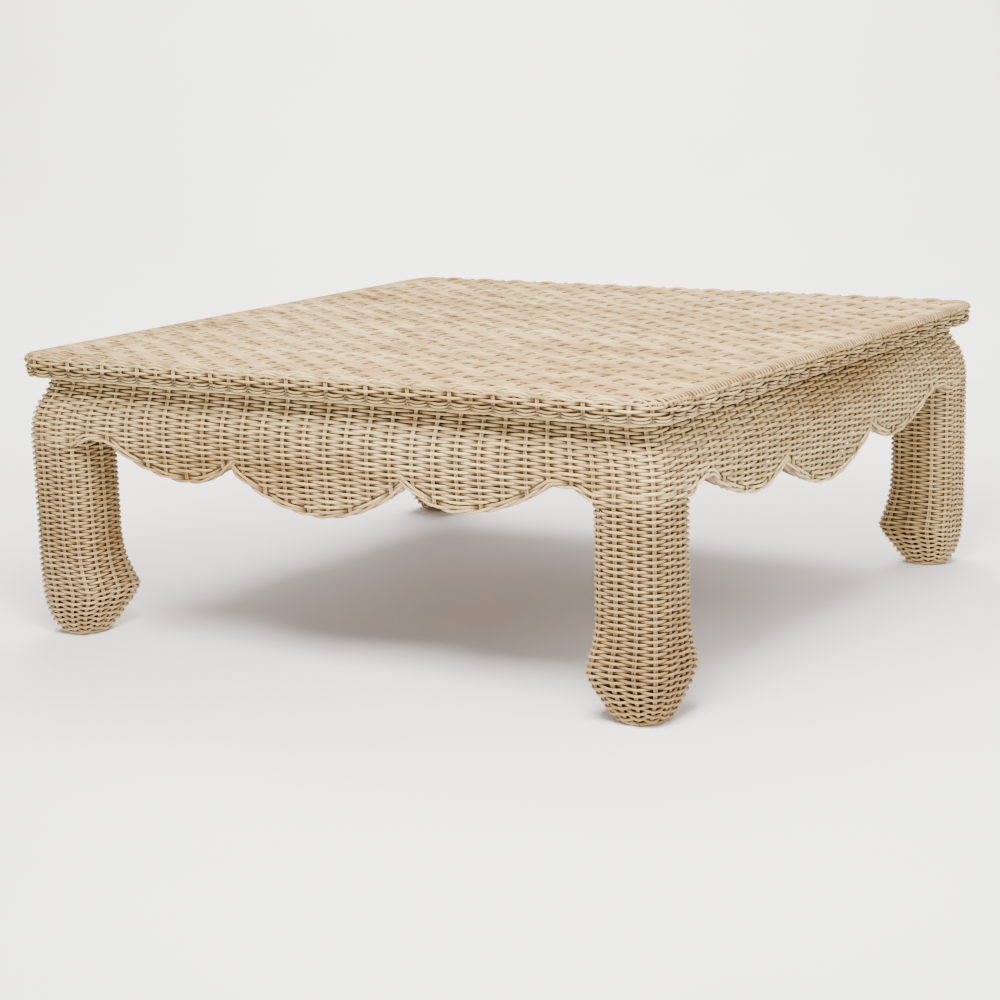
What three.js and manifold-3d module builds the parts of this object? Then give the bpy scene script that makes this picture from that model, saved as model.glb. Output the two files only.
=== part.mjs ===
// Square wicker coffee table with scalloped aprons and four hoof-footed legs.
// A plywood top and a hardwood frame carry the load, and woven round cane covers everything that shows.
// Millimetres, +Z up. The origin is on the floor, under the middle of the top.
import * as THREE from 'three';
import { mergeVertices } from 'three/addons/utils/BufferGeometryUtils.js';
import Module from 'manifold-3d';

const wasm = await Module();
wasm.setup();

// Overall sizes
const TABLE_WIDTH = 1067;
const TABLE_HEIGHT = 420;
const EDGE_DEPTH = 35;
const TOP_CORNER_RADIUS = 50;
const GAP = 0.3;

// Thicknesses of the cane and of the wood
const TOP_WEAVE = 8;
const EDGE_WEAVE = 12;
const EDGE_RETURN = 8.4;
const APRON_WEAVE = 9;
const LEG_WEAVE = 9.3;
const TOP_BOARD = 18;
const APRON_BOARD = 9;
const RAIL_WIDTH = 30;
const RAIL_DEPTH = 45;
const BATTEN_WIDTH = 45;
const BATTEN_DEPTH = 20;

// Legs: a rounded square section that flares into a hoof near the floor
const LEG_INSET = 59.9;
const LEG_HALF = 53.5;
const LEG_RADIUS = 32;
const LEG_SIDES = 16;
const CORE_SIDES = 12;
const SLEEVE_LIFT = 0.8;
const CORE_CLEARANCE = 1.2;
const GLIDE_HEIGHT = 4;
const GLIDE_RADIUS = 20;

// Scalloped lower edge of an apron, measured from the middle of a side
const NOTCH_X = 148;
const NOTCH_Z = 278;
const MIDDLE_LOBE_Z = 223;
const SIDE_LOBE_X = 222;
const SIDE_LOBE_Z = 251;
const ARCH_X = 372;
const ARCH_Z = 300;
const ARCH_FILLET = 14;

// How far an apron's face leans in below its shoulder, and how it meets the legs
const APRON_LEAN = 0.075;
const APRON_LEAN_TOP = 362;
const APRON_BLEND = 80;

// The apron boards and rims stop above the scalloped lower edge of the weave; the rims stand behind it
const EDGE_LIFT = 7;
const RIM_INSET = 31;
const RIM_RADIUS = 3.8;
const RIM_END_GAP = 5;

// Fasteners
const BATTEN_X = 150;
const SCREW_SPACING = 330;
const SCREW_LENGTH = 32;
const SCREW_RADIUS = 2;
const SCREW_HEAD_RADIUS = 4;
const SCREW_HEAD_HEIGHT = 3;
const BOLT_RADIUS = 4;
const BOLT_LENGTH = 90;
const BOLT_HEAD_RADIUS = 7.5;
const BOLT_HEAD_HEIGHT = 5.5;
const NAIL_RADIUS = 1.5;
const NAIL_LENGTH = 20;

// Levels worked out from the sizes above
const HALF = TABLE_WIDTH / 2;
const LEG_CENTRE = HALF - LEG_INSET;
const LEG_INNER_FACE = LEG_CENTRE - LEG_HALF;
const EDGE_BOTTOM = TABLE_HEIGHT - EDGE_DEPTH;
const TOP_WEAVE_BOTTOM = TABLE_HEIGHT - TOP_WEAVE;
const BOARD_TOP = TOP_WEAVE_BOTTOM - GAP;
const BOARD_BOTTOM = BOARD_TOP - TOP_BOARD;
const FRAME_TOP = BOARD_BOTTOM - GAP;
const WEAVE_TOP = EDGE_BOTTOM - GAP;
const APRON_BOARD_INSET = 39.3;
const RAIL_INSET = APRON_BOARD_INSET + APRON_BOARD + GAP;
const RAIL_INNER_INSET = RAIL_INSET + RAIL_WIDTH;
const RAIL_BOTTOM = FRAME_TOP - RAIL_DEPTH;
const BATTEN_BOTTOM = FRAME_TOP - BATTEN_DEPTH;
const BOLT_Z = RAIL_BOTTOM + RAIL_DEPTH / 2;

// Corner blocks, by distances along the corner's diagonal: from the leg's axis, then from the table's middle
const CORE_CORNER = 54;
const BLOCK_DEPTH = 42;
const BLOCK_OUTER = LEG_CENTRE * Math.SQRT2 - CORE_CORNER;
const BLOCK_INNER = BLOCK_OUTER - BLOCK_DEPTH;
const DIAGONAL = new THREE.Vector3(Math.SQRT1_2, Math.SQRT1_2, 0);

const CANE = { color: 0xd9c19a, roughness: 0.62, metalness: 0 };
const CANE_RIM = { color: 0xc9ab7c, roughness: 0.6, metalness: 0 };
const HARDWOOD = { color: 0x9a6f45, roughness: 0.7, metalness: 0 };
const PLYWOOD = { color: 0xb99263, roughness: 0.75, metalness: 0 };
const NYLON = { color: 0x3a2f27, roughness: 0.5, metalness: 0 };
const ZINC = { color: 0xb4b2aa, roughness: 0.4, metalness: 0.85 };

// ---------- shared helpers ----------

function solidOf(geometry) {
  const bare = geometry.index ? geometry.toNonIndexed() : geometry.clone();
  bare.deleteAttribute('normal');
  bare.deleteAttribute('uv');
  const merged = mergeVertices(bare, 1e-4);
  return new wasm.Manifold(new wasm.Mesh({
    numProp: 3,
    vertProperties: new Float32Array(merged.attributes.position.array),
    triVerts: new Uint32Array(merged.index.array),
  }));
}

function geometryOf(solid) {
  const mesh = solid.getMesh();
  const geometry = new THREE.BufferGeometry();
  geometry.setAttribute('position', new THREE.BufferAttribute(new Float32Array(mesh.vertProperties), 3));
  geometry.setIndex(new THREE.BufferAttribute(new Uint32Array(mesh.triVerts), 1));
  geometry.computeVertexNormals();
  return geometry;
}

function join(geometry, ...others) {
  return geometryOf(others.reduce((solid, other) => solid.add(solidOf(other)), solidOf(geometry)));
}

function cut(geometry, ...cutters) {
  return geometryOf(cutters.reduce((solid, cutter) => solid.subtract(solidOf(cutter)), solidOf(geometry)));
}

function boxBetween(low, high) {
  const size = high.map((value, axis) => value - low[axis]);
  const box = new THREE.BoxGeometry(...size);
  return box.translate(...low.map((value, axis) => value + size[axis] / 2));
}

function extrudeUp(shape, bottom, top, curveSegments = 6) {
  const solid = new THREE.ExtrudeGeometry(shape, { depth: top - bottom, bevelEnabled: false, curveSegments });
  return solid.translate(0, 0, bottom);
}

// An upright rod, turned so that it starts at the given point and points along the given direction.
function rod(radius, length, sides, start, direction) {
  const cylinder = new THREE.CylinderGeometry(radius, radius, length, sides);
  cylinder.translate(0, length / 2, 0);
  const turn = new THREE.Quaternion().setFromUnitVectors(new THREE.Vector3(0, 1, 0), direction);
  cylinder.applyQuaternion(turn);
  return cylinder.translate(start.x, start.y, start.z);
}

function named(name, geometry, look) {
  const mesh = new THREE.Mesh(geometry, new THREE.MeshStandardMaterial(look));
  mesh.name = name;
  return mesh;
}

function smoothStep(value) {
  const t = Math.min(1, Math.max(0, value));
  return t * t * (3 - 2 * t);
}

// Straight-line interpolation in rows whose first entry is the height.
function rowAt(rows, z) {
  const upper = rows.findIndex((row) => row[0] >= z);
  if (upper <= 0) return upper === 0 ? rows[0].slice(1) : rows[rows.length - 1].slice(1);
  const [low, high] = [rows[upper - 1], rows[upper]];
  const t = (z - low[0]) / (high[0] - low[0]);
  return low.slice(1).map((value, column) => value + (high[column + 1] - value) * t);
}

// ---------- the top ----------

function roundedSquare(half, radius) {
  const inner = half - radius;
  const shape = new THREE.Shape();
  shape.moveTo(inner, -half);
  shape.absarc(inner, inner, radius, 0, Math.PI / 2, false);
  shape.absarc(-inner, inner, radius, Math.PI / 2, Math.PI, false);
  shape.absarc(-inner, -inner, radius, Math.PI, 1.5 * Math.PI, false);
  shape.absarc(inner, -inner, radius, 1.5 * Math.PI, 2 * Math.PI, false);
  return shape;
}

function topWeave() {
  const roundOver = 3;
  const shape = roundedSquare(HALF - roundOver, TOP_CORNER_RADIUS - roundOver);
  const sheet = new THREE.ExtrudeGeometry(shape, {
    depth: TOP_WEAVE - 2 * roundOver,
    bevelThickness: roundOver,
    bevelSize: roundOver,
    bevelSegments: 1,
    curveSegments: 5,
  });
  return sheet.translate(0, 0, TOP_WEAVE_BOTTOM + roundOver);
}

function screwStarts() {
  const starts = [];
  for (const x of [-BATTEN_X, BATTEN_X]) {
    for (const row of [-1, 0, 1]) starts.push(new THREE.Vector3(x, row * SCREW_SPACING, BATTEN_BOTTOM));
  }
  return starts;
}

function screw(start, clearance) {
  const head = SCREW_HEAD_RADIUS + clearance;
  const shank = SCREW_RADIUS + clearance;
  const profile = [
    new THREE.Vector2(0, -clearance),
    new THREE.Vector2(head, -clearance),
    new THREE.Vector2(shank, SCREW_HEAD_HEIGHT),
    new THREE.Vector2(shank, SCREW_LENGTH + clearance),
    new THREE.Vector2(0, SCREW_LENGTH + clearance),
  ];
  const solid = new THREE.LatheGeometry(profile, 6);
  return solid.rotateX(Math.PI / 2).translate(start.x, start.y, start.z);
}

function topBoard() {
  const half = HALF - EDGE_WEAVE - GAP;
  const board = extrudeUp(roundedSquare(half, TOP_CORNER_RADIUS - EDGE_WEAVE), BOARD_BOTTOM, BOARD_TOP);
  return cut(board, ...screwStarts().map((start) => screw(start, GAP)));
}

// Plan of one side of the edge band: a strip along -Y, mitred at both ends, with rounded corners.
function edgePlan(inset) {
  const centre = HALF - TOP_CORNER_RADIUS;
  const outer = TOP_CORNER_RADIUS;
  const inner = TOP_CORNER_RADIUS - inset;
  const outerTurn = Math.PI / 4 - GAP / outer;
  const innerTurn = Math.PI / 4 - GAP / inner;
  const south = 1.5 * Math.PI;
  const shape = new THREE.Shape();
  shape.absarc(-centre, -centre, outer, south - outerTurn, south, false);
  shape.absarc(centre, -centre, outer, south, south + outerTurn, false);
  shape.absarc(centre, -centre, inner, south + innerTurn, south, true);
  shape.absarc(-centre, -centre, inner, south, south - innerTurn, true);
  shape.closePath();
  return shape;
}

// The band covers the board's edge and turns in under it as far as the apron boards.
function edgeWeave() {
  const wall = extrudeUp(edgePlan(EDGE_WEAVE), EDGE_BOTTOM, TOP_WEAVE_BOTTOM - GAP, 4);
  const turnedUnder = extrudeUp(edgePlan(APRON_BOARD_INSET - GAP), EDGE_BOTTOM, EDGE_BOTTOM + EDGE_RETURN, 4);
  return join(wall, turnedUnder);
}

// ---------- the frame ----------

function rail() {
  const end = LEG_CENTRE - LEG_HALF + LEG_WEAVE - GAP;
  return boxBetween([-end, -HALF + RAIL_INSET, RAIL_BOTTOM], [end, -HALF + RAIL_INNER_INSET, FRAME_TOP]);
}

function batten(x) {
  const end = HALF - RAIL_INNER_INSET - GAP;
  const bar = boxBetween([x - BATTEN_WIDTH / 2, -end, BATTEN_BOTTOM], [x + BATTEN_WIDTH / 2, end, FRAME_TOP]);
  const own = screwStarts().filter((start) => start.x === x);
  return cut(bar, ...own.map((start) => screw(start, GAP)));
}

function cornerBlock() {
  const reach = HALF - RAIL_INNER_INSET - GAP;
  const outer = BLOCK_OUTER * Math.SQRT2 - reach;
  const inner = BLOCK_INNER * Math.SQRT2 - reach;
  const shape = new THREE.Shape();
  shape.moveTo(reach, inner);
  shape.lineTo(reach, outer);
  shape.lineTo(outer, reach);
  shape.lineTo(inner, reach);
  shape.closePath();
  return cut(extrudeUp(shape, RAIL_BOTTOM, FRAME_TOP), cornerBoltHole());
}

function boltPoint(distance) {
  return DIAGONAL.clone().multiplyScalar(distance).setZ(BOLT_Z);
}

function cornerBoltHole() {
  return rod(BOLT_RADIUS + GAP, BOLT_LENGTH + BOLT_HEAD_HEIGHT, 10, boltPoint(BLOCK_INNER - 2), DIAGONAL);
}

function cornerBolt() {
  const headStart = boltPoint(BLOCK_INNER - GAP - BOLT_HEAD_HEIGHT);
  const head = rod(BOLT_HEAD_RADIUS, BOLT_HEAD_HEIGHT, 6, headStart, DIAGONAL);
  const shank = rod(BOLT_RADIUS, BOLT_LENGTH, 10, boltPoint(BLOCK_INNER - 1), DIAGONAL);
  return join(head, shank);
}

// ---------- the legs ----------

// How far the outer faces of legs and aprons stand back from their fullest plane, by height.
const SHOULDER_ROWS = [
  [0, 0], [300, 0], [318, 1.1], [333, 3.8], [348, 9], [362, 17], [374, 21], [EDGE_BOTTOM, 22.5],
];

function shoulder(z) {
  return rowAt(SHOULDER_ROWS, z)[0];
}

// Height, outer half, inner half, then the radii of the outer, side and inner corners.
const LEG_ROWS = [
  [0, 35, 35, 35, 35, 35],
  [15, 42.5, 44, 30, 30, 30],
  [31, 47.5, 51, 30, 28, 24],
  [46, 50.5, 58, 31, 22, 16],
  [60, 52, 62.5, 32, 17, 10],
  [68, 52.5, 63.5, 32, 15, 8],
  [84, 53, 59.5, 32, 18, 13],
  [105, LEG_HALF, 55.5, 32, 26, 20],
  [125, LEG_HALF, 54, 32, 31, 28],
  [150, LEG_HALF, LEG_HALF, LEG_RADIUS, LEG_RADIUS, LEG_RADIUS],
  [278, LEG_HALF, LEG_HALF, LEG_RADIUS, LEG_RADIUS, LEG_RADIUS],
  [300, LEG_HALF, LEG_HALF, LEG_RADIUS, 10.5, LEG_RADIUS],
  [EDGE_BOTTOM, LEG_HALF, LEG_HALF, LEG_RADIUS, 10.5, LEG_RADIUS],
];

// One point of the leg's section. Positive x and y face away from the table's middle.
function legSectionPoint(z, step, stepsPerQuarter, skin) {
  const [outer, inner, outerRadius, sideRadius, innerRadius] = rowAt(LEG_ROWS, z);
  const quarter = Math.floor(step / stepsPerQuarter) % 4;
  const angle = (quarter + (step % stepsPerQuarter) / (stepsPerQuarter - 1)) * Math.PI / 2;
  const corner = [outerRadius, sideRadius, innerRadius, sideRadius][quarter];
  const radius = Math.max(1, corner - skin);
  const outward = outer - shoulder(z) - skin;
  const inward = inner - skin;
  const centreX = quarter === 0 || quarter === 3 ? outward - radius : radius - inward;
  const centreY = quarter < 2 ? outward - radius : radius - inward;
  return [centreX + radius * Math.cos(angle), centreY + radius * Math.sin(angle)];
}

// A cylinder whose rings are reshaped to the leg's sections, taken in from its outside by a skin thickness.
function legLoft(levels, sides, skin) {
  const solid = new THREE.CylinderGeometry(1, 1, 1, sides, levels.length - 1);
  const position = solid.attributes.position;
  for (let i = 0; i < position.count; i += 1) {
    const level = Math.round((0.5 + position.getY(i)) * (levels.length - 1));
    const radial = Math.hypot(position.getX(i), position.getZ(i));
    const turn = Math.atan2(-position.getZ(i), position.getX(i)) / (2 * Math.PI);
    const step = (Math.round(turn * sides) + sides) % sides;
    const z = levels[level];
    const [x, y] = legSectionPoint(z, step, sides / 4, skin);
    position.setXYZ(i, x * Math.min(1, radial), y * Math.min(1, radial), z);
  }
  return solid;
}

const LEG_LEVELS = [18, 36, 54, 68, 84, 106, 278, 300, 325, 348, 365];

// The sleeve's inner corner stops below the rails, so that the frame reaches the core.
function legWeave() {
  const outside = legLoft([SLEEVE_LIFT, ...LEG_LEVELS, WEAVE_TOP], LEG_SIDES, 0);
  const hollow = legLoft([SLEEVE_LIFT - 1, ...LEG_LEVELS, WEAVE_TOP + 1], CORE_SIDES, LEG_WEAVE);
  const open = LEG_HALF + 5;
  const wall = LEG_HALF - LEG_WEAVE - 2;
  const cornerWall = LEG_HALF - LEG_RADIUS + 12;
  const side = LEG_INSET - RAIL_INSET + GAP;
  const bottom = RAIL_BOTTOM - GAP;
  return cut(
    outside,
    hollow,
    boxBetween([-open, -open, bottom], [-wall, side, WEAVE_TOP + 1]),
    boxBetween([-open, -open, bottom], [side, -wall, WEAVE_TOP + 1]),
    boxBetween([-open, -open, bottom], [-cornerWall, -cornerWall, WEAVE_TOP + 1]),
  );
}

function legCore() {
  const levels = [GLIDE_HEIGHT + GAP, ...LEG_LEVELS, EDGE_BOTTOM - 1, FRAME_TOP];
  const core = legLoft(levels, CORE_SIDES, LEG_WEAVE + CORE_CLEARANCE);
  const up = new THREE.Vector3(0, 0, 1);
  const nailHole = rod(NAIL_RADIUS + GAP, NAIL_LENGTH + GAP, 6, new THREE.Vector3(), up);
  const boltHole = cornerBoltHole().translate(-LEG_CENTRE, -LEG_CENTRE, 0);
  return cut(core, nailHole, boltHole);
}

function footGlide() {
  const profile = [
    new THREE.Vector2(0, 0),
    new THREE.Vector2(GLIDE_RADIUS - 1, 0),
    new THREE.Vector2(GLIDE_RADIUS, GLIDE_HEIGHT),
    new THREE.Vector2(NAIL_RADIUS, GLIDE_HEIGHT),
    new THREE.Vector2(NAIL_RADIUS, NAIL_LENGTH),
    new THREE.Vector2(0, NAIL_LENGTH),
  ];
  return new THREE.LatheGeometry(profile, 16).rotateX(Math.PI / 2);
}

// ---------- the aprons ----------

function scallop(x) {
  const distance = Math.abs(x);
  if (distance <= NOTCH_X) return MIDDLE_LOBE_Z + (NOTCH_Z - MIDDLE_LOBE_Z) * (distance / NOTCH_X) ** 2;
  if (distance <= SIDE_LOBE_X) {
    return SIDE_LOBE_Z + (NOTCH_Z - SIDE_LOBE_Z) * ((SIDE_LOBE_X - distance) / (SIDE_LOBE_X - NOTCH_X)) ** 2;
  }
  if (distance <= ARCH_X) {
    return SIDE_LOBE_Z + (ARCH_Z - SIDE_LOBE_Z) * ((distance - SIDE_LOBE_X) / (ARCH_X - SIDE_LOBE_X)) ** 2;
  }
  const intoFillet = Math.max(0, distance - (LEG_INNER_FACE - ARCH_FILLET));
  return ARCH_Z - ARCH_FILLET + Math.sqrt(Math.max(0, ARCH_FILLET ** 2 - intoFillet ** 2));
}

// Places along a side where the lower edge changes course, each with the steps that lead to it.
function apronStations(end) {
  const half = [[0, NOTCH_X, 5], [NOTCH_X, ARCH_X, 6], [ARCH_X, LEG_INNER_FACE - ARCH_FILLET, 1],
    [LEG_INNER_FACE - ARCH_FILLET, end, 3]];
  const right = [];
  for (const [from, to, steps] of half) {
    for (let i = 1; i <= steps; i += 1) right.push(from + (to - from) * i / steps);
  }
  return [...right.map((x) => -x).reverse(), 0, ...right];
}

function apronInset(x, z) {
  const away = smoothStep((LEG_INNER_FACE - Math.abs(x)) / APRON_BLEND);
  const lean = APRON_LEAN * Math.max(0, APRON_LEAN_TOP - z) * away;
  return LEG_INSET - LEG_HALF + shoulder(z) + lean;
}

// A flat box whose columns follow the lower edge and whose rows follow the shoulder and the lean.
function apronWeave() {
  const stations = apronStations(LEG_INNER_FACE - GAP);
  const rows = 3;
  const box = new THREE.BoxGeometry(1, 1, 1, stations.length - 1, 1, rows);
  const position = box.attributes.position;
  for (let i = 0; i < position.count; i += 1) {
    const x = stations[Math.round((position.getX(i) + 0.5) * (stations.length - 1))];
    const bottom = scallop(x);
    const z = bottom + (WEAVE_TOP - bottom) * (position.getZ(i) + 0.5);
    const depth = position.getY(i) < 0 ? 0 : APRON_WEAVE;
    position.setXYZ(i, x, -HALF + apronInset(x, z) + depth, z);
  }
  return box;
}

function apronBoard() {
  const end = LEG_INNER_FACE - GAP;
  const shape = new THREE.Shape();
  shape.moveTo(-end, FRAME_TOP);
  for (const x of apronStations(end)) shape.lineTo(x, scallop(x) + EDGE_LIFT);
  shape.lineTo(end, FRAME_TOP);
  shape.closePath();
  const board = new THREE.ExtrudeGeometry(shape, { depth: APRON_BOARD, bevelEnabled: false });
  return board.rotateX(Math.PI / 2).translate(0, -HALF + APRON_BOARD_INSET + APRON_BOARD, 0);
}

// The bent cane that the weavers turn round, just behind the scalloped lower edge.
function apronRim() {
  const y = -HALF + RIM_INSET;
  const stations = apronStations(LEG_INNER_FACE - RIM_END_GAP);
  const points = stations.map((x) => new THREE.Vector3(x, y, scallop(x) + EDGE_LIFT));
  const outline = new THREE.Shape();
  outline.absarc(0, 0, RIM_RADIUS, 0, 2 * Math.PI, false);
  return new THREE.ExtrudeGeometry(outline, {
    steps: 36,
    curveSegments: 3,
    extrudePath: new THREE.CatmullRomCurve3(points),
  });
}

// ---------- assembly ----------

const table = new THREE.Group();
table.add(named('top_weave', topWeave(), CANE));
table.add(named('top_board', topBoard(), PLYWOOD));
table.add(named('batten_left', batten(-BATTEN_X), HARDWOOD));
table.add(named('batten_right', batten(BATTEN_X), HARDWOOD));
screwStarts().forEach((start, index) => {
  table.add(named(`batten_screw_${index + 1}`, screw(start, 0), ZINC));
});

['front', 'right', 'back', 'left'].forEach((side, index) => {
  const group = new THREE.Group();
  group.rotation.z = index * Math.PI / 2;
  group.add(named(`edge_weave_${side}`, edgeWeave(), CANE));
  group.add(named(`rail_${side}`, rail(), HARDWOOD));
  group.add(named(`apron_weave_${side}`, apronWeave(), CANE));
  group.add(named(`apron_board_${side}`, apronBoard(), PLYWOOD));
  group.add(named(`apron_rim_${side}`, apronRim(), CANE_RIM));
  table.add(group);
});

['back_right', 'back_left', 'front_left', 'front_right'].forEach((corner, index) => {
  const group = new THREE.Group();
  group.rotation.z = index * Math.PI / 2;
  group.add(named(`corner_block_${corner}`, cornerBlock(), HARDWOOD));
  group.add(named(`corner_bolt_${corner}`, cornerBolt(), ZINC));
  const leg = new THREE.Group();
  leg.position.set(LEG_CENTRE, LEG_CENTRE, 0);
  leg.add(named(`leg_core_${corner}`, legCore(), HARDWOOD));
  leg.add(named(`leg_weave_${corner}`, legWeave(), CANE));
  leg.add(named(`foot_glide_${corner}`, footGlide(), NYLON));
  group.add(leg);
  table.add(group);
});

export default table;
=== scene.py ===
# The looks of a square wicker coffee table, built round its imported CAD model.
# Every cane is made as a real strand: weavers in rows, pairs of upright stakes, borders and lashings.
import math

import bpy
import numpy as np
from mathutils import Matrix, Vector


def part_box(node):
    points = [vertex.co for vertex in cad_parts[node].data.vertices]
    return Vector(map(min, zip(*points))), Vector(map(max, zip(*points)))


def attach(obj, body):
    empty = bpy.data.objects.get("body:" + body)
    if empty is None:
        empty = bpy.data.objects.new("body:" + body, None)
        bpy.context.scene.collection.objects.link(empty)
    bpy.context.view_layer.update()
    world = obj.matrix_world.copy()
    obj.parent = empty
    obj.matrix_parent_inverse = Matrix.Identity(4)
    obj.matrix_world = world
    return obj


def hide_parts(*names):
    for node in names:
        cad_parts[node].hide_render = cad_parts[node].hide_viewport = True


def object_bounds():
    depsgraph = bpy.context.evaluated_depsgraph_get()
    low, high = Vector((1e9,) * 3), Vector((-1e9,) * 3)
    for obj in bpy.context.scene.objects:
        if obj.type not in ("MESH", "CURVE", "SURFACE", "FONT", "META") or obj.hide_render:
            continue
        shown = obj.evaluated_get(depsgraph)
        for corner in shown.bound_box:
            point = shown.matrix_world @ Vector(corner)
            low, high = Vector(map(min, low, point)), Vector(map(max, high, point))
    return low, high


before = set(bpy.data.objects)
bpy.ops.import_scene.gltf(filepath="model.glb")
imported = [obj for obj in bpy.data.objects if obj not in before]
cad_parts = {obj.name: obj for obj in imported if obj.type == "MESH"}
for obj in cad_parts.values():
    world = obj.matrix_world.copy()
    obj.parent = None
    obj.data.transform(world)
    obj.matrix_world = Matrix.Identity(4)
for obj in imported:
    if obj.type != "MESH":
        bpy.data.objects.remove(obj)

cad_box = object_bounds()
rng = np.random.default_rng(11)

# Shapes are worked out in millimetres, and each mesh is scaled to metres when it is made.
MM = 0.001


def box_mm(node):
    """The lowest and highest corners of a CAD node, in millimetres."""
    low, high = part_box(node)
    return np.array(low) / MM, np.array(high) / MM


# ---------- sizes taken from the frame ----------

SIDES = ("front", "right", "back", "left")
CORNERS = ("back_right", "back_left", "front_left", "front_right")
HALF = cad_box[1].x / MM
TOP = cad_box[1].z / MM
EDGE_DEPTH = round(TOP - box_mm("edge_weave_front")[0][2], 3)
APRON_TOP = box_mm("apron_weave_front")[1][2]
MIDDLE_LOBE_Z = box_mm("apron_weave_front")[0][2]
RAIL_BOTTOM = box_mm("rail_front")[0][2]
LEG_OUTER_FACE = box_mm("leg_weave_back_right")[1][0]
GLIDE_LOW, GLIDE_HIGH = box_mm("foot_glide_back_right")
LEG_CENTRE = GLIDE_LOW[0] / 2 + GLIDE_HIGH[0] / 2
LEG_HALF = LEG_OUTER_FACE - LEG_CENTRE
LEG_RADIUS = 32.0
SIDE_INSET = HALF - LEG_OUTER_FACE
LEG_INNER_FACE = LEG_CENTRE - LEG_HALF

# ---------- sizes of the cane ----------

WEAVER = 1.93           # radius of the round cane that runs in rows
STAKE = 1.4             # radius of each cane of an upright pair
PAIR = 1.55             # from the middle of a pair to the middle of each of its canes
ROW = 4.2               # from one row to the next
SWING = 2.75            # how far a weaver moves in and out as it passes the apron's stakes
LEG_SWING = 3.2
LEG_STAKES = 13         # pairs round a leg: an odd number, so one spiral weaver alternates
LEG_PITCH = 28.7
APRON_STAKES = 24
APRON_PITCH = 35.0
RADIUS_SPREAD = 0.045   # how much the canes differ in thickness, as a share
TONE_SHAPE = (2.2, 2.6)         # a beta distribution of tones, from pale to dark
CREST, HOLLOW = 0.16, 1.6       # fullness of a weaver's bow over a stake, shortness of its dip behind one
WAVES = (1.0, 0.55, 0.3)        # lengths and sizes of the waves that a strand wanders in, as shares

# Distance between the points of a strand
ROW_STEP, BORDER_STEP, STAKE_STEP, LIP_STEP = 4.6, 4.2, 5.5, 3.6
EDGE_STAKE_STEP, TOP_STAKE_STEP, RIM_STEP = 4.5, 5.4, 5.0

# How far strands wander from their places
ROW_WANDER, BORDER_WANDER, LEG_WANDER, EDGE_WANDER = 0.5, 0.2, 0.3, 0.25
TOP_WANDER, TOP_WAVE = 0.35, 500.0

# Scalloped lower edge, from the middle of a side
NOTCH_X, NOTCH_Z = 148.0, 278.0
SIDE_LOBE_X, SIDE_LOBE_Z = 222.0, 251.0
ARCH_X, ARCH_Z = 372.0, 300.0
ARCH_END = 398.0
LEG_JOIN_X, LEG_JOIN_Z = 438.0, 286.0
BORDER = 11.4           # depth of the border of three canes along the scalloped edge
TWIST_LEVEL, TWIST, THIRD_LEVEL = 3.4, 1.8, 8.6
OVERLAP = 17.0          # how far a side lobe's border runs on past the notch
EDGE_BEND, LOBE_BEND, RIM_BEND = 6.0, 5.0, 10.0     # how far along it each edge's notches are rounded

# How far the sides stand back at each height, and how the aprons lean in towards their lower edges
SHOULDER_Z = (0, 300, 318, 333, 348, 362, 374, 385)
SHOULDER_IN = (0, 0, 1.1, 3.8, 9, 17, 21, 22.5)
SHOULDER_START = 250.0  # from here to the corner, places along a side draw in with the shoulder
APRON_LEAN, LEAN_TOP, LEAN_BLEND = 0.075, 362.0, 80.0

# Height, outer half, inner half, then the radii of the outer, side and inner corners of a leg.
LEG_ROWS = np.array([
    (0, 35, 35, 35, 35, 35), (15, 42.5, 44, 30, 30, 30), (31, 47.5, 51, 30, 28, 24),
    (46, 50.5, 58, 31, 22, 16), (60, 52, 62.5, 32, 17, 10), (68, 52.5, 63.5, 32, 15, 8),
    (84, 53, 59.5, 32, 18, 13), (105, 53.5, 55.5, 32, 26, 20), (125, 53.5, 54, 32, 31, 28),
    (150, 53.5, 53.5, 32, 32, 32), (278, 53.5, 53.5, 32, 32, 32), (300, 53.5, 53.5, 32, 10.5, 32),
    (385, 53.5, 53.5, 32, 10.5, 32),
], float)

# Top and its edge
PLAN_RADIUS = 50.0
EDGE_ROUND = 10.0
# The edge below its rounding: inset from the outline, and depth below the top face
EDGE_SHAPE = ((0.6, 22), (2, 29), (3.6, 32.6), (6.5, 34.4), (10, EDGE_DEPTH), (40, EDGE_DEPTH))
EDGE_STAKES = 32        # pairs along a quarter of the edge
TOP_WEAVER = 2.02
TOP_SWING, TOP_DIP = 2.5, 0.4   # a weaver of the top rises over a stake more than it dips under one
TOP_STAKE_DEPTH, TOP_STAKE_SWING = 3.8, 1.4
TOP_ROW = 4.3


def smooth_step(value):
    t = np.clip(value, 0, 1)
    return t * t * (3 - 2 * t)


def new_object(name, data):
    """An object of a mesh, light or camera, put into the scene."""
    item = bpy.data.objects.new(name, data)
    bpy.context.scene.collection.objects.link(item)
    return item


def unit(vectors):
    return vectors / np.maximum(np.linalg.norm(vectors, axis=-1, keepdims=True), 1e-9)


def quarter_turn(points, times):
    """Turns points about the table's axis by a number of right angles."""
    x, y, z = points[..., 0], points[..., 1], points[..., 2]
    for _ in range(times % 4):
        x, y = -y, x
    return np.stack([x, y, z], -1)


def with_normals(surface, a, b, rise=0.5):
    """Points of a surface and the directions that face outwards there.

    The rise is a small step in b, below 0 where b counts downwards.
    """
    points = surface(a, b)
    along = surface(a + 0.5, b) - surface(a - 0.5, b)
    across = surface(a, b + rise) - surface(a, b - rise)
    return points, unit(np.cross(along, across))


# ---------- strands ----------

def swing_of(phase):
    """In and out of the stakes: 1 in front of a stake, -1 behind it, where the dip is short."""
    c = np.cos(np.pi * phase)
    return np.where(c > 0, c * (1 + CREST - CREST * c * c), -np.abs(c) ** HOLLOW)


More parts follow.
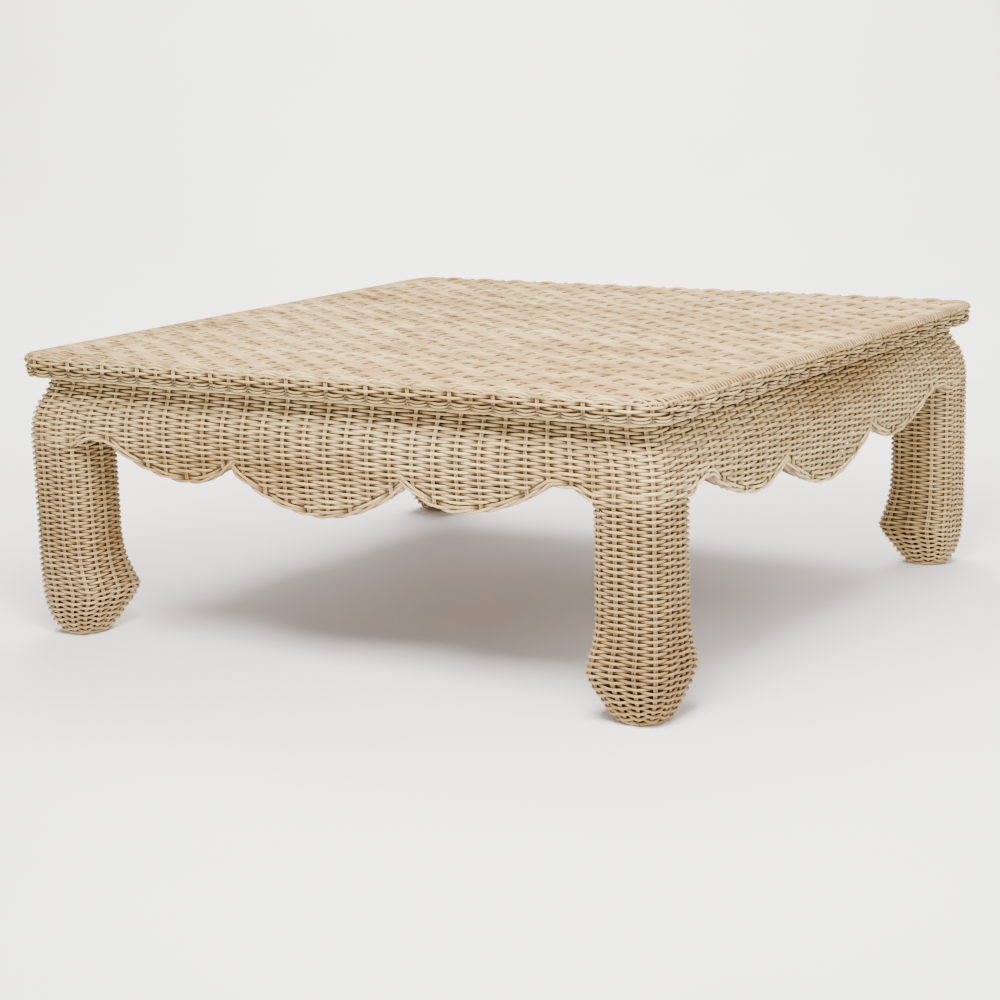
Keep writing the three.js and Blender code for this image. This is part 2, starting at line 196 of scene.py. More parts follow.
def wander(position, size, longest=260.0):
    """A slow, small, seeded movement to and fro along a strand."""
    total = np.zeros_like(position, dtype=float)
    for share in WAVES:
        total += share * np.sin(2 * np.pi * position / (longest * share) + rng.uniform(0, 2 * np.pi))
    return total * size / sum(WAVES)


def drawn_colour():
    return {"tone": rng.beta(*TONE_SHAPE), "hue": rng.uniform()}


def strand(points, normals, radius, painted_shade=0.0):
    """One cane, with its thickness and colour drawn here.

    Its painted shade darkens each point by how deep in the weave it lies, and its painted flank shade
    darkens its two sides.
    """
    count = len(points)
    item = {
        "points": points,
        "normals": normals,
        "radius": np.broadcast_to(radius * (1 + rng.normal(0, RADIUS_SPREAD)), (count,)),
        "painted_shade": np.broadcast_to(painted_shade, (count,)),
        "painted_flank_shade": (0.0, 0.0),
    }
    return item | drawn_colour()


def woven(points, normals, phase, radius, swing, dip=1.0):
    """Moves a row of points on a surface to where a weaver runs, in front of and behind the stakes."""
    inward = radius + swing
    beat = swing_of(phase)
    move = swing * np.where(beat < 0, dip * beat, beat)
    # Painted shade: darkest where the weaver runs behind a stake.
    painted_shade = 0.5 - 0.5 * beat
    return strand(points + normals * (move - inward)[..., None], normals, radius, painted_shade)


def rings_of(item, turn):
    """The rings of vertices round one cane, at the given angles. Angle 0 is its first flank."""
    points, radius = item["points"], item["radius"]
    tangent = unit(np.gradient(points, axis=0))
    across = unit(np.cross(tangent, item["normals"]))
    upward = np.cross(across, tangent)
    ring = across[:, None] * np.cos(turn)[:, None] + upward[:, None] * np.sin(turn)[:, None]
    return points[:, None] + ring * radius[:, None, None]


def faces_of(count, sides, start):
    """Side faces of a cane of so many rings, as corner indices, and its two end faces."""
    first = start + np.arange(count - 1)[:, None] * sides
    second = first + sides
    here = np.arange(sides)[None]
    there = (here + 1) % sides
    quads = np.stack([first + here, second + here, second + there, first + there], -1)
    ends = [start + np.arange(sides), start + (count - 1) * sides + np.arange(sides)[::-1]]
    return quads.reshape(-1, 4), ends


STRIP = 160             # the most spans of a cane in one strip of the bake map
STRIP_MARGIN, STRIP_FILL = 0.08, 0.84
CAP_SPOT = 0.0005       # the place that all end faces share
GRAIN_RUN, GRAIN_RADIUS = 4000.0, 2.0    # the grain starts anywhere along an endless cane of this radius


def add_bake_map(mesh, strips, sides, caps):
    """Lays the canes out in even strips of the given lengths, as a map for baked textures."""
    height = 1.0 / len(strips)
    corners = []
    for index, length in enumerate(strips):
        u = np.broadcast_to(np.arange(length)[:, None] / STRIP, (length, sides))
        v = (index + STRIP_MARGIN + STRIP_FILL * np.arange(sides)[None] / sides) * height
        v = np.broadcast_to(v, (length, sides))
        next_u, next_v = u + 1 / STRIP, v + STRIP_FILL * height / sides
        quad = [np.stack(corner, -1) for corner in ((u, v), (next_u, v), (next_u, next_v), (u, next_v))]
        corners.append(np.stack(quad, -2).reshape(-1, 2))
    corners.append(np.full((caps * sides, 2), CAP_SPOT))
    layer = mesh.uv_layers.new(name="OFBake")
    layer.data.foreach_set("uv", np.concatenate(corners).astype(np.float32).ravel())


def cane_colours(item, turn):
    """Tone, hue and painted shade at each vertex of a cane: shade for its depth in the weave, and more on
    its flanks.
    """
    count = len(item["points"])
    colour = np.ones((count, len(turn), 4))
    colour[..., 0] = np.broadcast_to(item["tone"], (count,))[:, None]
    colour[..., 1] = item["hue"]
    colour[..., 2] = item["painted_shade"][:, None]
    # Painted shade on the flanks, strongest at the middle of each flank.
    for flank, facing in zip(item["painted_flank_shade"], (np.cos(turn), -np.cos(turn))):
        colour[..., 2] += np.broadcast_to(flank, (count,))[:, None] * np.maximum(facing, 0)
    colour[..., 2] = np.minimum(colour[..., 2], 1)
    return colour.reshape(-1, 4)


def cane_grain(item, turn):
    """Each vertex's place in the cane's grain: how far along it, and where round it."""
    count, sides = len(item["points"]), len(turn)
    steps = np.linalg.norm(np.diff(item["points"], axis=0), axis=1)
    along = np.concatenate([[0], np.cumsum(steps)]) + rng.uniform(0, GRAIN_RUN)
    grain = np.stack([np.repeat(along[:, None], sides, 1),
                      np.broadcast_to(np.cos(turn), (count, sides)) * GRAIN_RADIUS,
                      np.broadcast_to(np.sin(turn), (count, sides)) * GRAIN_RADIUS], -1)
    return grain.reshape(-1, 3)


def store(mesh, name, kind, key, values):
    """Keeps a value for each vertex under a name, for the materials to read."""
    data = mesh.attributes.new(name, kind, "POINT").data
    data.foreach_set(key, np.concatenate(values).astype(np.float32).ravel())


def cane_mesh(name, vertices, quads, ends):
    """A mesh of the canes' side faces, followed by their end faces."""
    loops = np.concatenate([quads.ravel()] + ends)
    totals = np.concatenate([np.full(len(quads), 4), [len(end) for end in ends]])
    starts = np.concatenate([[0], np.cumsum(totals)[:-1]])
    mesh = bpy.data.meshes.new(name)
    mesh.vertices.add(len(vertices))
    mesh.vertices.foreach_set("co", vertices.astype(np.float32).ravel())
    mesh.loops.add(len(loops))
    mesh.loops.foreach_set("vertex_index", loops.astype(np.int32))
    mesh.polygons.add(len(totals))
    mesh.polygons.foreach_set("loop_start", starts.astype(np.int32))
    mesh.polygons.foreach_set("use_smooth", np.ones(len(totals), bool))
    mesh.update(calc_edges=True)
    return mesh


def cane_piece(name, strands, material, replaced=(), sides=7):
    """Makes one Blender object of many canes and hides the parts of the frame that it stands for."""
    turn = np.arange(sides) * 2 * np.pi / sides
    vertices, quads, ends, strips, colours, grains = [], [], [], [], [], []
    start = 0
    for item in strands:
        count = len(item["points"])
        side_faces, end_faces = faces_of(count, sides, start)
        vertices.append(rings_of(item, turn).reshape(-1, 3))
        quads.append(side_faces)
        ends.extend(end_faces)
        strips.extend(min(STRIP, count - 1 - begin) for begin in range(0, count - 1, STRIP))
        colours.append(cane_colours(item, turn))
        grains.append(cane_grain(item, turn))
        start += count * sides
    mesh = cane_mesh(name, np.concatenate(vertices) * MM, np.concatenate(quads), ends)
    add_bake_map(mesh, strips, sides, len(ends))
    store(mesh, "cane", "FLOAT_COLOR", "color", colours)
    store(mesh, "grain", "FLOAT_VECTOR", "vector", grains)
    mesh.validate()
    mesh.materials.append(material)
    piece = new_object(name, mesh)
    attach(piece, "root")
    if replaced:
        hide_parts(*replaced)


# ---------- the surfaces that the weave lies on ----------

FLAT_END = HALF - SIDE_INSET - LEG_RADIUS
SIDE_END = FLAT_END + LEG_RADIUS * math.pi / 4


def middle_lobe(u):
    return MIDDLE_LOBE_Z + (NOTCH_Z - MIDDLE_LOBE_Z) * (u / NOTCH_X) ** 2


def side_lobe(a, end_x=NOTCH_X, end_z=NOTCH_Z):
    """A side lobe's curve, from its lowest point to one of its ends."""
    return SIDE_LOBE_Z + (end_z - SIDE_LOBE_Z) * ((SIDE_LOBE_X - a) / (SIDE_LOBE_X - end_x)) ** 2


def towards_leg(a):
    """From 0 at the arch's end to 1 at the leg."""
    return smooth_step((a - ARCH_END) / (LEG_JOIN_X - ARCH_END))


def scallop(u):
    """Height of the apron's lower edge. Past the arch it runs on as the first row round the leg."""
    a = np.abs(u)
    fall = ARCH_Z - (ARCH_Z - LEG_JOIN_Z) * towards_leg(a)
    arch = np.where(a <= ARCH_X, side_lobe(a, ARCH_X, ARCH_Z), fall)
    outer = np.where(a <= SIDE_LOBE_X, side_lobe(a), arch)
    return np.where(a <= NOTCH_X, middle_lobe(a), outer)


def soft_scallop(u, reach):
    """The same edge with its notches rounded, as a cane can bend."""
    shifts = np.linspace(-1, 1, 9)
    weights = (1 - shifts ** 2) ** 2 + 0.05
    total = sum(weight * scallop(u + shift * reach) for shift, weight in zip(shifts, weights))
    return total / weights.sum()


def edge_slope(u):
    """How much longer the edge is than its run along the side."""
    slope = (soft_scallop(u + 2, EDGE_BEND) - soft_scallop(u - 2, EDGE_BEND)) / 4
    return np.sqrt(1 + slope ** 2)


def shoulder(z):
    return np.interp(z, SHOULDER_Z, SHOULDER_IN)


def side_surface(u, z):
    """The front side, from the middle of one corner to the middle of the next, u along it."""
    a = np.abs(u)
    stand_back = shoulder(z)
    lean = APRON_LEAN * np.maximum(0, LEAN_TOP - z) * smooth_step((LEG_INNER_FACE - a) / LEAN_BLEND)
    flat_x = a - stand_back * smooth_step((a - SHOULDER_START) / (FLAT_END - SHOULDER_START))
    turn = np.maximum(a - FLAT_END, 0) / LEG_RADIUS
    centre = FLAT_END - stand_back
    on_flat = a <= FLAT_END
    x = np.where(on_flat, flat_x, centre + LEG_RADIUS * np.sin(turn))
    y = np.where(on_flat, -HALF + SIDE_INSET + stand_back + lean, -centre - LEG_RADIUS * np.cos(turn))
    return np.stack([np.sign(u) * x, y, z + 0 * x], -1)


def side_stakes():
    """Places of the stake pairs along a side, from one corner's to the next."""
    leg = [SIDE_END - LEG_PITCH * i for i in range(4)]
    apron = [APRON_PITCH * (i + 0.5) for i in range(APRON_STAKES // 2)]
    right = sorted(leg + apron)
    return np.array([-u for u in reversed(right)] + right)


STAKES_U = side_stakes()


OUTLINE_STEP, OUTLINE_TOP = 2.0, 394.0
OUTLINE_POINTS, CORNER_POINTS = 14, 13   # between two stakes, and round a corner


def outline_table():
    """Leg outlines at many heights, each as points at even shares of the way round."""
    heights = np.arange(0, OUTLINE_TOP, OUTLINE_STEP)
    shares = np.linspace(0, 1, OUTLINE_POINTS * LEG_STAKES + 1)
    table = np.zeros((len(heights), len(shares), 2))
    for index, z in enumerate(heights):
        outer, inner, r0, r1, r2 = (np.interp(z, LEG_ROWS[:, 0], LEG_ROWS[:, c]) for c in range(1, 6))
        outer = outer - shoulder(z)
        corners = [(outer - r0, outer - r0, r0, 45, 90), (r1 - inner, outer - r1, r1, 90, 180),
                   (r2 - inner, r2 - inner, r2, 180, 270), (outer - r1, r1 - inner, r1, 270, 360),
                   (outer - r0, outer - r0, r0, 360, 405)]
        points = []
        for cx, cy, radius, begin, end in corners:
            angle = np.radians(np.linspace(begin, end, CORNER_POINTS))
            points.append(np.stack([cx + radius * np.cos(angle), cy + radius * np.sin(angle)], -1))
        points = np.concatenate(points)
        lengths = np.concatenate([[0], np.cumsum(np.linalg.norm(np.diff(points, axis=0), axis=1))])
        for axis in (0, 1):
            table[index, :, axis] = np.interp(shares * lengths[-1], lengths, points[:, axis])
    return heights, shares, table


LEG_HEIGHTS, LEG_SHARES, LEG_TABLE = outline_table()


def leg_surface(share, z):
    """The back right leg. Share 0 is its outer corner, and shares run anticlockwise from above."""
    z = np.asarray(z, float) + 0 * np.asarray(share, float)
    row = np.clip(z, 0, LEG_HEIGHTS[-1] - 0.01) / OUTLINE_STEP
    column = (np.asarray(share) % 1) * (len(LEG_SHARES) - 1)
    r, c = row.astype(int), np.minimum(column.astype(int), len(LEG_SHARES) - 2)
    fr, fc = (row - r)[..., None], (column - c)[..., None]
    low = LEG_TABLE[r, c] * (1 - fc) + LEG_TABLE[r, c + 1] * fc
    high = LEG_TABLE[r + 1, c] * (1 - fc) + LEG_TABLE[r + 1, c + 1] * fc
    plan = low * (1 - fr) + high * fr + LEG_CENTRE
    return np.concatenate([plan, z[..., None]], -1)


def leg_with_normals(share, z, step=0.4 / LEG_STAKES, reach=3):
    """Points of the leg and the directions that face outwards there, also at the floor."""
    points = leg_surface(share, z)
    along = leg_surface(share + step, z) - leg_surface(share - step, z)
    across = leg_surface(share, z + reach) - leg_surface(share, z - reach)
    across[..., 2] = 2 * reach
    return points, unit(np.cross(along, across))


def edge_profile():
    """Profile of the top's edge, from the top face round to the underside: inset and height."""
    angle = np.radians(np.linspace(0, 90, 10))
    over = [(EDGE_ROUND * (1 - math.sin(t)), TOP - EDGE_ROUND * (1 - math.cos(t))) for t in angle]
    points = np.array(over + [(inset, TOP - depth) for inset, depth in EDGE_SHAPE])
    lengths = np.concatenate([[0], np.cumsum(np.linalg.norm(np.diff(points, axis=0), axis=1))])
    return lengths, points


EDGE_LENGTHS, EDGE_POINTS = edge_profile()
EDGE_FLAT = HALF - PLAN_RADIUS
EDGE_END = EDGE_FLAT + PLAN_RADIUS * math.pi / 4
EDGE_STEP = 2 * EDGE_END / EDGE_STAKES


def edge_surface(u, w):
    """The front quarter of the top's edge: u along it, w down its profile from the top face."""
    inset = np.interp(w, EDGE_LENGTHS, EDGE_POINTS[:, 0])
    z = np.interp(w, EDGE_LENGTHS, EDGE_POINTS[:, 1])
    a = np.abs(u)
    turn = np.maximum(a - EDGE_FLAT, 0) / PLAN_RADIUS
    radius = PLAN_RADIUS - inset
    x = np.where(a <= EDGE_FLAT, a, EDGE_FLAT + radius * np.sin(turn))
    y = -EDGE_FLAT - radius * np.cos(turn)
    return np.stack([np.sign(u) * x, y, z + 0 * x], -1)


def edge_with_normals(u, w):
    return with_normals(edge_surface, u, w, rise=-1.0)


# ---------- the weave of the sides ----------

TUCK_RUN, TUCK_DEPTH = 7.0, 3.8         # how a row's end is drawn in behind the border
# The border's ends drawn in at a notch are given painted shade.
NOTCH_RUN, NOTCH_DEPTH, NOTCH_SHADE = 12.0, 5.5, 0.8    # the same for the border's own ends, at a notch
WARP = 4.0              # how softly rows bend up as they near the border
BORDER_LAP = 0.6        # how far a row may still reach into the border
FIRST_ROW, SHORTEST_ROW = 2.4, 14.0     # below the apron's top, and the shortest stretch that is woven
BORDER_SWING = 0.9 * SWING
LEG_LEVEL = 2.0         # the border's first row, where it runs on round the leg
# CORE_SHADE and STAKE_SHADE are painted shade: the core canes lie behind the border, the stakes behind the
# weavers.
CORE_LEVELS, CORE_INSET, CORE_RADIUS, CORE_SHADE = (3.2, 8.6, 13.6, 18.4), 5.7, 2.9, 0.8
STAKE_START, STAKE_END, STAKE_SHADE = 3.4, 3.0, 0.28
STAKE_LEAN, LEAN_HEIGHT = 1.5, 150.0    # how far a pair leans aside, over this height


def spread(low, high, step):
    """Evenly spaced values, no more than a step apart."""
    return np.linspace(low, high, max(3, int(math.ceil((high - low) / step)) + 1))


def warped(z, u):
    """A level row, bent up where it comes near the border of the scalloped edge."""
    floor = soft_scallop(u, EDGE_BEND) + BORDER * edge_slope(u)
    above = z - floor
    return floor + 0.5 * (above + np.sqrt(above ** 2 + WARP ** 2)), above


def row_ends(row):
    """Rows of two sides meet behind a stake: at the corner's stake, or at the next one."""
    if row % 2:
        return -SIDE_END, 2 * SIDE_END - STAKES_U[-2]
    return STAKES_U[1], SIDE_END


def past_corner(surface_normals, u, value, end):
    """Evaluates a side's surface for points that may lie past its right-hand corner."""
    points, normals = surface_normals(np.minimum(u, end), value)
    over = u > end
    if over.any():
        part = value if np.ndim(value) == 0 else value[over]
        more_points, more_normals = surface_normals(u[over] - 2 * end, part)
        points[over] = quarter_turn(more_points, 1)
        normals[over] = quarter_turn(more_normals, 1)
    return points, normals


def side_point_normals(u, z):
    return with_normals(side_surface, u, z)


def stake_count(u):
    """How many stake pairs lie before a place along a side, also past its right-hand corner."""
    inside = np.interp(np.minimum(u, SIDE_END), STAKES_U, np.arange(len(STAKES_U)))
    outside = np.interp(u - 2 * SIDE_END, STAKES_U, np.arange(len(STAKES_U))) + len(STAKES_U) - 1
    return np.where(u > SIDE_END, outside, inside)


def wrap(u, end):
    """Places past a quarter's right-hand corner, told from the middle of the next one."""
    return np.where(u > end, u - 2 * end, u)


def tuck_in(item, u, run, depth, shade, at_low, at_high):
    """Draws a strand's ends in behind the weave, and gives them painted shade."""
    inward = np.zeros_like(u)
    if at_low:
        inward = np.maximum(inward, smooth_step(1 - (u - u[0]) / run))
    if at_high:
        inward = np.maximum(inward, smooth_step(1 - (u[-1] - u) / run))
    item["points"] = item["points"] - item["normals"] * (inward * depth)[:, None]
    item["painted_shade"] = np.maximum(item["painted_shade"], shade * inward)
    return item


def side_row(z, row, low, high, tuck_low, tuck_high):
    """One row, or one stretch of it, with its ends drawn in behind the border."""
    u = spread(low, high, ROW_STEP)
    path, _ = warped(z + wander(u, ROW_WANDER), wrap(u, SIDE_END))
    points, normals = past_corner(side_point_normals, u, path, SIDE_END)
    slope = (shoulder(path + 1) - shoulder(path - 1)) / 2
    item = woven(points, normals, stake_count(u) + row, WEAVER * np.sqrt(1 + slope ** 2), SWING)
    return tuck_in(item, u, TUCK_RUN, TUCK_DEPTH, 1.0, tuck_low, tuck_high)


def clear_stretches(z, low, high):
    """The stretches of a row that lie above the border."""
    u = np.arange(low, high, 1.0)
    open_here = warped(z, wrap(u, SIDE_END))[1] > -BORDER_LAP
    change = np.flatnonzero(np.diff(np.concatenate([[False], open_here, [False]]).astype(int)))
    return [(u[a], u[min(b, len(u)) - 1]) for a, b in zip(change[::2], change[1::2])]


def side_rows(side):
    """Level rows. There are 31 spaces on a side, so over and under change places from side to side."""
    strands = []
    rows = int((APRON_TOP - MIDDLE_LOBE_Z) / ROW)
    for row in range(rows):
        z = APRON_TOP - FIRST_ROW - row * ROW
        low, high = row_ends(row + side)
        for begin, end in clear_stretches(z, low, high):
            if end - begin > SHORTEST_ROW:
                strands.append(side_row(z, row + side, begin, end, begin > low + 1, end < high - 2))
    return strands


def lobe_edge(u, lobe):
    """The lower edge of one lobe, carried on past its notch: 0 for the middle one, else a side one."""
    if lobe == 0:
        return middle_lobe(u)
    a = np.abs(u)
    return np.where(a < SIDE_LOBE_X, side_lobe(a), soft_scallop(u, LOBE_BEND))


def border_run(lobe, low, high, levels, twist, parity, inset, radius, swing):
    """One cane of a lobe's border, set some way inside it. Ends that stop at a notch are tucked in."""
    u = spread(low, high, BORDER_STEP)
    here = wrap(u, SIDE_END)
    phase = stake_count(u) + parity
    on_leg = towards_leg(np.abs(here))
    slope = (lobe_edge(here + 2, lobe) - lobe_edge(here - 2, lobe)) / 4
    level = levels[0] + (levels[1] - levels[0]) * on_leg
    rise = level + twist * (1 - on_leg) * np.sin(np.pi * phase)
    z = lobe_edge(here, lobe) + rise * np.sqrt(1 + slope ** 2) + wander(u, BORDER_WANDER)
    points, normals = past_corner(side_point_normals, u, z, SIDE_END)
    item = woven(points - normals * inset, normals, phase, radius, swing)
    return tuck_in(item, u, NOTCH_RUN, NOTCH_DEPTH, NOTCH_SHADE, lobe >= 0, lobe <= 0)


def border_canes(side):
    """Along each lobe: a twisted pair, a plain row above it, and core canes behind them."""
    strands = []
    reach = NOTCH_X - OVERLAP
    for cane in (0, 1, 2):
        level, twist = (TWIST_LEVEL, TWIST) if cane < 2 else (THIRD_LEVEL, 0)
        levels = (level, LEG_LEVEL + ROW * cane)
        first, last = row_ends(side + cane)
        for lobe, low, high in ((-1, first, -reach), (0, -NOTCH_X - 1, NOTCH_X + 1), (1, reach, last)):
            strands.append(border_run(lobe, low, high, levels, twist, side + cane, 0, WEAVER, BORDER_SWING))
    for level in CORE_LEVELS:
        for lobe, low, high in ((-1, -SIDE_END, -NOTCH_X), (0, -NOTCH_X, NOTCH_X), (1, NOTCH_X, SIDE_END)):
            core = border_run(lobe, low, high, (level, level), 0, 0, CORE_INSET, CORE_RADIUS, 0.0)
            # The core canes get an even painted shade, as they lie behind the border.
            core["painted_shade"] = np.full(len(core["points"]), CORE_SHADE)
            strands.append(core)
    return strands


def side_stake_canes():
    """The apron's stake pairs, from the border to the underside of the top's edge."""
    strands = []
    for place in STAKES_U[np.abs(STAKES_U) < LEG_INNER_FACE]:
        lean = rng.normal(0, STAKE_LEAN)
        for hand in (-1, 1):
            z = spread(float(scallop(place)) + STAKE_START, APRON_TOP + STAKE_END, STAKE_STEP)
            u = place + hand * PAIR + lean * (APRON_TOP - z) / LEAN_HEIGHT
            points, normals = side_point_normals(u, z)
            strands.append(strand(points - normals * (WEAVER + SWING), normals, STAKE, STAKE_SHADE))
    return strands


# ---------- the weave of the legs ----------

HELIX_TOP, HELIX_BOTTOM = LEG_JOIN_Z + 0.6, 3.4
HELIX_POINTS = 5        # from one stake to the next
LEG_ROUND, LEG_WAVE = 370.0, 900.0      # length of one turn, and of the longest wave it wanders in
LEG_FLOOR = 2.4         # the weaver runs no lower than this
FOOT_Z, FOOT_BLEND, FOOT_SAG = 74.0, 30.0, 1.1  # below this height, the weaver sags over each stake
COIL_OUTER, COIL_INNER, COIL_ROW, COIL_Z, COIL_POINTS = 33.0, 22.6, 4.0, 2.9, 44
# Painted shade: the coil under the foot, and the leg's stakes behind the weavers.
COIL_SHADE, LEG_STAKE_SHADE = 0.35, 0.3
INNER_SHARES, INNER_POINTS = (0.262, 0.738), 34         # the rows round the two inner faces
INNER_START, RAIL_GAP = 2.2, 4.0
LEG_STAKE_START, LEG_STAKE_GAP, CARRY_START = 4.5, 3.0, 4.0


def leg_weaver(parity):
    """One long weaver that spirals down the leg. Its parity sets it against the apron's rows above."""
    turns = (HELIX_TOP - HELIX_BOTTOM) / ROW
    t = np.linspace(0, turns, int(turns * LEG_STAKES * HELIX_POINTS))
    share = 0.5 + t
    on_foot = smooth_step((FOOT_Z - (HELIX_TOP - ROW * t)) / FOOT_BLEND)
    phase = share * LEG_STAKES + parity
    sag = -FOOT_SAG * on_foot * swing_of(phase)
    z = HELIX_TOP - ROW * t + wander(t * LEG_ROUND, LEG_WANDER, LEG_WAVE) + sag
    points, normals = leg_with_normals(share, np.maximum(z, LEG_FLOOR))
    return woven(points, normals, phase, WEAVER, LEG_SWING)


def foot_spiral():
    """Flat coil under the foot, from the last row in to the glide."""
    turns = (COIL_OUTER - COIL_INNER) / COIL_ROW
    t = np.linspace(0, turns, int(turns * COIL_POINTS))
    radius = COIL_OUTER - COIL_ROW * t
    angle = np.pi / 4 + np.pi + 2 * np.pi * t
    points = np.stack([LEG_CENTRE + radius * np.cos(angle), LEG_CENTRE + radius * np.sin(angle),
                       np.full_like(t, COIL_Z)], -1)
    down = np.broadcast_to([0.0, 0.0, -1.0], points.shape)
    return strand(points, down, WEAVER, COIL_SHADE)


def leg_inner_rows():
    """Rows round the two inner faces, between the spiral and the rails."""
    strands = []
    rows = int((RAIL_BOTTOM - RAIL_GAP - HELIX_TOP) / ROW)
    for row in range(rows):
        share = np.linspace(*INNER_SHARES, INNER_POINTS)
        z = HELIX_TOP + INNER_START + row * ROW + wander(share * LEG_ROUND, LEG_WANDER)
        points, normals = leg_with_normals(share, z)
        strands.append(woven(points, normals, share * LEG_STAKES + row, WEAVER, LEG_SWING))
    return strands


def leg_stake_canes():
    """Stake pairs round the leg. The outer ones run on up the shoulder, the others stop at the rails."""
    strands = []
    perimeter = LEG_PITCH * LEG_STAKES
    for index in range(LEG_STAKES):
        outer = index <= 3 or index >= LEG_STAKES - 3
        for hand in (-1, 1):
            share = index / LEG_STAKES + hand * PAIR / perimeter
            z = spread(LEG_STAKE_START, HELIX_TOP if outer else RAIL_BOTTOM - LEG_STAKE_GAP, STAKE_STEP)
            points, normals = leg_with_normals(np.full_like(z, share), z)
            if outer:
                points, normals = carry_up(points, normals, share, perimeter)
            inward = WEAVER + LEG_SWING
            strands.append(strand(points - normals * inward, normals, STAKE, LEG_STAKE_SHADE))
    return strands


def carry_up(points, normals, share, perimeter):
    """Runs an outer stake on from the leg's spiral up the shoulder to the top's edge."""
    z = spread(HELIX_TOP + CARRY_START, APRON_TOP + STAKE_END, STAKE_STEP)
    reach = (share if share < 0.5 else share - 1) * perimeter
    if reach >= 0:
        more, facing = side_point_normals(np.full_like(z, -SIDE_END + reach), z)
        turned = 2
    else:
        more, facing = side_point_normals(np.full_like(z, SIDE_END + reach), z)
        turned = 1
    return (np.concatenate([points, quarter_turn(more, turned)]),
            np.concatenate([normals, quarter_turn(facing, turned)]))


# ---------- the edge of the top ----------

EDGE_WALL = EDGE_ROUND * math.pi / 2
# Places of the rows down the edge, away from the corners: front and back, then right and left.
# At the corners all four sides have the first places.
EDGE_ROWS = ((11.8, 16.9, 21.0, 25.0), (16.4, 20.0, 22.8, 25.6))
CORNER_BLEND = 60.0     # the length of the change to the corner's places
ARCH_SWING, EDGE_ARCH = 3.1, 2.4        # the first pair, and how far it arches over a stake
EDGE_SWING, EDGE_CANE_RADIUS = 3.0, 0.95 * WEAVER
LIP_ROWS, LIP_SAG, LIP_CANE = (27.8, 32.4, 37.0), 2.7, 1.65     # places, hang and radius
LIP_ARC, LIP_DEPTH, LIP_PROUD = 0.8, 3.6, 0.3   # shape of an arc, how far it is drawn in, how far it bulges
# Painted shade of the lip: growing towards each stake, where a row is drawn in, and on its two flanks.
LIP_SHADE, LIP_PAINTED_FLANK_SHADE = 1.5, (0.9, 0.7)
UNDER_ROWS, UNDER_START, UNDER_SWING = 6, 27.5, 2.0
EDGE_STAKE_START, EDGE_STAKE_END = 1.5, 50.0
EDGE_LEAN, EDGE_LEAN_RUN = 0.8, 40.0
UNDER_BEND, UNDER_BLEND = 20.0, 8.0     # where the stakes turn in under the edge


def edge_ring(w, row, radius, swing, arch=0.0):
    """A row along one quarter of the edge, ending behind a stake like the rows of the sides."""
    shift = 0 if row % 2 else EDGE_STEP
    u = spread(-EDGE_END + shift, EDGE_END + shift, BORDER_STEP)
    phase = (u + EDGE_END) / EDGE_STEP + row
    near_corner = smooth_step((np.abs(wrap(u, EDGE_END)) - EDGE_FLAT + CORNER_BLEND) / CORNER_BLEND)
    place = w[0] + (w[1] - w[0]) * near_corner + wander(u, EDGE_WANDER) - arch * np.cos(np.pi * phase)
    points, normals = past_corner(edge_with_normals, u, place, EDGE_END)
    return woven(points, normals, phase, radius, swing)


def lip_ring(w):
    """A row of the lip: it hangs in an arc between each pair of stakes and is drawn in at the stake."""
    u = spread(-EDGE_END, EDGE_END, LIP_STEP)
    phase = (u + EDGE_END) / EDGE_STEP
    hang = np.abs(np.sin(np.pi * phase)) ** LIP_ARC
    points, normals = edge_with_normals(u, w + LIP_SAG * hang + wander(u, BORDER_WANDER))
    inward = LIP_CANE - LIP_PROUD + LIP_DEPTH * (1 - hang)
    # Painted shade grows towards each stake, and the flanks are painted darker.
    item = strand(points - normals * inward[:, None], normals, LIP_CANE, (1 - hang) ** LIP_SHADE)
    item["painted_flank_shade"] = LIP_PAINTED_FLANK_SHADE
    return item


def edge_canes(side):
    """From the top down: a pair arched over each stake, plain rows, the lip, and rows under it."""
    places = list(zip(EDGE_ROWS[side % 2], EDGE_ROWS[0]))
    strands = [edge_ring(places[0], cane, WEAVER, ARCH_SWING, EDGE_ARCH) for cane in (0, 1)]
    strands += [edge_ring(place, row, EDGE_CANE_RADIUS, EDGE_SWING) for row, place in enumerate(places[1:])]
    strands += [lip_ring(place) for place in LIP_ROWS]
    for row in range(UNDER_ROWS):
        place = EDGE_WALL + UNDER_START + ROW * row
        strands.append(edge_ring((place, place), row, WEAVER, UNDER_SWING))
    return strands


def edge_stake_canes():
    """The stakes of the edge, bent over from the top and turned in under it."""
    strands = []
    for index in range(EDGE_STAKES):
        place = -EDGE_END + EDGE_STEP * index
        lean = rng.normal(0, EDGE_LEAN)
        for hand in (-1, 1):
            w = spread(EDGE_STAKE_START, EDGE_WALL + EDGE_STAKE_END, EDGE_STAKE_STEP)
            u = place + hand * PAIR + lean * w / EDGE_LEAN_RUN
            points, normals = edge_with_normals(u, w)
            under = smooth_step((w - EDGE_WALL - UNDER_BEND) / UNDER_BLEND)
            inward = WEAVER + EDGE_SWING * (1 - under) + UNDER_SWING * under
            strands.append(strand(points - normals * inward[:, None], normals, STAKE, STAKE_SHADE))
    return strands


# ---------- the top ----------

SMALLEST_GROUP, LARGEST_GROUP = 4, 7
BRICK_SPREAD = 0.13     # how much the tone differs from one exposed length of a group to the next
PHASE_SPREAD = 0.06
COMB, COMB_SHIFT = 24.0, 1.05           # the turned-down ends: how long they are, how far they pair up
COMB_SLIMMER = 0.36
OVER_ANGLES = (12, 25, 38, 52, 66, 80, 92)      # points of a cane's bend over the edge, in degrees
